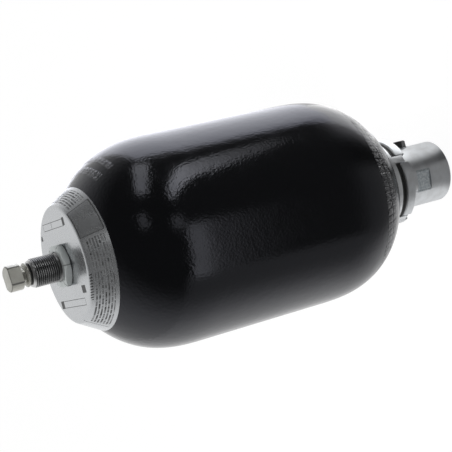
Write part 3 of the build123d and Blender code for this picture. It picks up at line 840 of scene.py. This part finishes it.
def rubber_ring():
    bottom, top = low("dust_ring"), high("dust_ring")
    middle, outer, inner = (bottom + top) / 2, 36.7, 31.12
    outline = [
        (inner, bottom), (outer, bottom), (outer, middle - 0.8), (outer - 0.8, middle), (outer, middle + 0.8),
        (outer, top), (inner, top),
    ]
    piece = turned("rubber_ring", outline)
    at_lugs(piece, (10.0, 7.2, 20.0), LUG_RADIUS, middle)
    bevel(piece, 0.2, 35)
    dress(piece, seal_rubber, "seal_rubber", "dust_ring", smooth=28)


def vent_plug():
    inner, outer = low("vent_screw", 0), high("vent_screw", 0)
    face = high("vent_seal", 0)
    piece, corner = hexagon("vent_plug", 13.0, face, outer, 90.0)
    end_radius, shank_radius, chamfer = 6.2, 4.0, 1.0
    drop = (corner - end_radius) * tan(radians(30))
    blank_outline = [(0, face), (corner, face), (corner, outer - drop), (end_radius, outer), (0, outer)]
    combine(piece, turned("vent_blank", blank_outline, 64, False), "INTERSECT")
    shank_outline = [
        (0, inner), (shank_radius - chamfer, inner), (shank_radius, inner + chamfer), (shank_radius, face + 1.0),
        (0, face + 1.0),
    ]
    combine(piece, turned("vent_shank", shank_outline, 64, False), "UNION")
    only(piece)
    piece.rotation_euler = (0, pi / 2, 0)
    piece.location = (0, 0, VENT_HEIGHT * MM)
    bpy.ops.object.transform_apply(location=True, rotation=True, scale=True)
    bevel(piece, 0.2, 25)
    dress(piece, vent_steel, "black_steel", "vent_screw", smooth=25)


# ---------------------------------------------------------------- springs
# Turns of each coil, and facets round its wire
SPRING_TURNS = 6.5
WIRE_FACETS = 16


def wire_spring(node, wire):
    """A coil of round wire of a radius in mm."""
    bottom, top, outer = low(node), high(node), high(node, 0)
    clear_selection()
    bpy.ops.mesh.primitive_circle_add(
        vertices=WIRE_FACETS, radius=wire * MM, location=((outer - wire) * MM, 0, (bottom + wire) * MM),
        rotation=(pi / 2, 0, 0),
    )
    spring = bpy.context.object
    spring.name = spring.data.name = node + "_wire"
    bpy.ops.object.transform_apply(location=True, rotation=True, scale=True)
    steps = int(64 * SPRING_TURNS)
    apply_modifier(
        spring, "SCREW", axis="Z", angle=2 * pi * SPRING_TURNS, screw_offset=(top - bottom - 2 * wire) * MM,
        iterations=1, steps=steps, render_steps=steps,
    )
    bpy.ops.object.mode_set(mode="EDIT")
    bpy.ops.mesh.select_all(action="SELECT")
    bpy.ops.mesh.fill_holes(sides=WIRE_FACETS)
    tidy_mesh()
    bpy.ops.object.mode_set(mode="OBJECT")
    dress(spring, spring_steel, "spring_steel", node, smooth=60)
    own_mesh(spring)


# ---------------------------------------------------------------- the pieces
wire_spring("poppet_spring", 0.9)
wire_spring("valve_pin_spring", 0.24)
painted_shell()
printed_plate()
lock_nut()
threaded_stem()
valve_collar()
sealing_cap()
port_barrel()
clamp_nut()
lug_spacer()
rubber_ring()
vent_plug()


# ---------------------------------------------------------------- studio
# Places and sizes of lamps and cards are in metres
PART_MIDDLE = (0, 0, 0.22)
FLOOR_SIZE = 12.0


def seen_only_in_gloss(piece):
    piece.visible_camera = piece.visible_diffuse = piece.visible_shadow = piece.visible_transmission = False


def white_floor():
    """A white floor that also glows a little to the camera and in the gloss, so that it shows white."""
    clear_selection()
    bpy.ops.mesh.primitive_plane_add(size=FLOOR_SIZE, location=(0, 0, 0))
    floor = bpy.context.object
    floor.name = "floor"
    paint = Finish("floor_paint", roughness=0.9)
    where = paint.place()
    paint.feed("Base Color", paint.mix(paint.noise(where, 400.0), grey(0.84), grey(0.86)))
    rays = paint.node("LightPath").socket.node.outputs
    camera_ray, glossy_ray, clear_ray = (
        Reading(paint, rays[f"Is {kind} Ray"]) for kind in ("Camera", "Glossy", "Transmission")
    )
    seen = camera_ray.maths("MAXIMUM", glossy_ray).maths("MAXIMUM", clear_ray)
    glow = paint.node("Emission", {}, {"Color": (1, 1, 1, 1), "Strength": 1.16})
    both = paint.node("MixShader", {}, {0: seen * 0.8, 1: Reading(paint, paint.surface.outputs[0]), 2: glow})
    paint.plug(paint.tree.nodes["Material Output"].inputs["Surface"], both)
    floor.data.materials.append(paint.material)


def dark_cloth():
    """A black cloth over the floor in front, seen only in the gloss, with a bare patch far out."""
    clear_selection()
    bpy.ops.mesh.primitive_plane_add(size=FLOOR_SIZE - 0.1, location=(0, 0, 1.0 * MM))
    cloth = bpy.context.object
    cloth.name = "dark_cloth"
    weave = Finish("dark_cloth_weave", roughness=1.0)
    weave.feed("Specular IOR Level", 0.0)
    weave.feed("Base Color", grey(0.03))

    # How closely it covers the floor, by the distance from the axis in mm, and by the heading in degrees: 0 is
    # straight to the front and 90 is to the right. The heading leans outwards close to the part.
    x, y, _ = weave.parts(weave.place())
    distance = weave.radius(x, y)
    heading = weave.angle(x, 0.0 - y) * (1.0 + 19.0 / distance)
    far_out = 0.76 * weave.ramp(heading, -112.0, -62.0) + 0.24 * weave.ramp(heading, -49.0, -43.0)
    far_out = 0.93 * far_out * weave.ramp(heading, 88.0, 104.0, 1.0, 0.0)
    close_by = weave.ramp(abs(heading), 45.0, 92.0, 0.76, 0.1) + 0.2 * weave.between(heading, 25.0, 65.0, 10.0)
    cover = close_by + weave.ramp(distance, 150.0, 300.0) * (far_out - close_by)
    bare = weave.between(heading, -46.0, 8.0, 5.0) * weave.ramp(distance, 400.0, 950.0) * (distance < 2100.0)
    weave.feed("Alpha", cover * (1.0 - bare))
    cloth.data.materials.append(weave.material)
    seen_only_in_gloss(cloth)


def area_lamp(name, size, strength, colour=(1, 1, 1)):
    """A rectangular lamp of an even brightness, which the camera does not see."""
    light = bpy.data.lights.new(name, "AREA")
    light.shape = "RECTANGLE"
    light.size, light.size_y = size
    light.energy = strength * pi * size[0] * size[1]
    light.color = colour
    lamp = bpy.data.objects.new(name, light)
    bpy.context.scene.collection.objects.link(lamp)
    lamp.visible_camera = False
    return lamp


def softbox(name, place, size, strength, glossy=True):
    """A lamp that faces the middle of the part."""
    lamp = area_lamp(name, size, strength)
    aim = (Vector(PART_MIDDLE) - Vector(place)).to_track_quat("-Z", "Y")
    lamp.matrix_world = Matrix.Translation(place) @ aim.to_matrix().to_4x4()
    lamp.visible_glossy = glossy


def strip_lamp(name, start, end, width, strength):
    """A long lamp between two points that faces the middle of the part."""
    start, end = Vector(start), Vector(end)
    middle = (start + end) / 2
    along = (end - start).normalized()
    facing = (middle - Vector(PART_MIDDLE)).normalized()
    facing = (facing - along * facing.dot(along)).normalized()
    across = facing.cross(along).normalized()
    lamp = area_lamp(name, (width, (end - start).length), strength)
    turn = Matrix((across, along, facing)).transposed().to_4x4()
    lamp.matrix_world = Matrix.Translation(middle) @ turn


def light_card(name, first, last, strength, foot=1.0):
    """A glowing card between two edges, seen only in the gloss. Its foot may be dimmer than its head."""
    clear_selection()
    bpy.ops.mesh.primitive_plane_add(size=1)
    card = bpy.context.object
    card.name = name
    for vertex, corner in zip(card.data.vertices, (*first, *last)):
        vertex.co = corner
    glow = Finish(name, base_color=(0, 0, 0, 1), emission_strength=strength)
    glow.feed("Specular IOR Level", 0.0)
    height = glow.parts(glow.place())[2]
    glow.feed("Emission Color", glow.mix(glow.ramp(height, 20.0, 105.0), grey(foot), grey(1.0)))
    card.data.materials.append(glow.material)
    seen_only_in_gloss(card)


def side_board():
    """A bright board lying beside the part, which its upper edge mirrors."""
    length, width = 4.0, 2.0
    corner, turn = (0.2, -0.044, 0.003), 9.5
    lamp = area_lamp("side_board", (length, width), 1.04, (0.84, 0.86, 1.0))
    edge = Matrix.Translation(corner) @ Matrix.Rotation(radians(turn), 4, "Z")
    lamp.matrix_world = edge @ Matrix.Translation((length / 2, width / 2, 0)) @ Matrix.Rotation(pi, 4, "X")


def surroundings():
    """A grey room that is brighter behind the part. The camera itself sees it white."""
    world = bpy.data.worlds.new("studio")
    bpy.context.scene.world = world
    world.use_nodes = True
    tree = world.node_tree
    background = tree.nodes["Background"]
    where = tree.nodes.new("ShaderNodeTexCoord")
    behind = tree.nodes.new("ShaderNodeVectorMath")
    behind.operation = "DOT_PRODUCT"
    behind.inputs[1].default_value = (-0.35, 1.0, 0.0)
    tree.links.new(where.outputs["Generated"], behind.inputs[0])
    level = tree.nodes.new("ShaderNodeMapRange")
    level.interpolation_type = "SMOOTHSTEP"
    for key, value in {"From Min": -0.35, "From Max": 0.7, "To Min": 0.07, "To Max": 0.8}.items():
        level.inputs[key].default_value = value
    tree.links.new(behind.outputs["Value"], level.inputs["Value"])
    rays = tree.nodes.new("ShaderNodeLightPath")
    seen = tree.nodes.new("ShaderNodeMath")
    seen.operation = "MAXIMUM"
    tree.links.new(rays.outputs["Is Camera Ray"], seen.inputs[0])
    tree.links.new(level.outputs[0], seen.inputs[1])
    tree.links.new(seen.outputs[0], background.inputs["Strength"])
    background.inputs["Color"].default_value = (1, 1, 1, 1)


def lamps_and_cards():
    """Two cards that meet at a bend make the long streak, and one card, four lamps and a board the rest."""
    streak, foot = 2.8, 0.24
    head = (0.417, -0.595, 0.247), (0.548, -0.465, 0.202)
    bend = (0.377, -0.322, 0.109), (0.485, -0.165, 0.075)
    tail = (0.345, -0.145, 0.002), (0.395, -0.1, 0.002)
    light_card("far_streak_card", head, bend, streak, foot)
    light_card("near_streak_card", bend, tail, streak, foot)
    near_edge = (0.055, -0.045, 0.004), (0.055, 0.12, 0.004)
    far_edge = (0.2, -0.045, 0.004), (0.2, 0.12, 0.004)
    light_card("port_card", near_edge, far_edge, 1.9)
    strip_lamp("patch_lamp", (0.602, -0.045, 0.268), (0.51, -0.37, 0.50), 0.13, 1.6)
    softbox("upper_small_lamp", (0.27, -0.54, 0.675), (0.17, 0.12), 0.5)
    softbox("lower_small_lamp", (0.165, -0.705, 0.273), (0.14, 0.12), 0.6)
    side_board()
    softbox("fill_lamp", (-0.5, -1.1, 1.3), (1.2, 1.2), 1.5, glossy=False)


# The camera in front of the part looks down at it, and is rolled so that the part lies across the view
CAMERA_PLACE = (0, -0.9085, 0.6829)
CAMERA_HEADING = 0.116
CAMERA_DIP = 27.386
CAMERA_ROLL = -104.459
FOCAL_LENGTH = 101.0
SENSOR_WIDTH = 36.0


def camera():
    lens = bpy.data.cameras.new("camera")
    lens.lens = FOCAL_LENGTH
    lens.sensor_width = SENSOR_WIDTH
    view = bpy.data.objects.new("camera", lens)
    bpy.context.scene.collection.objects.link(view)
    turn = (
        Matrix.Rotation(radians(CAMERA_HEADING), 4, "Z")
        @ Matrix.Rotation(radians(90 - CAMERA_DIP), 4, "X")
        @ Matrix.Rotation(radians(CAMERA_ROLL), 4, "Z")
    )
    view.matrix_world = Matrix.Translation(CAMERA_PLACE) @ turn
    bpy.context.scene.camera = view


white_floor()
dark_cloth()
surroundings()
lamps_and_cards()
camera()
bpy.context.scene.view_settings.view_transform = "Standard"
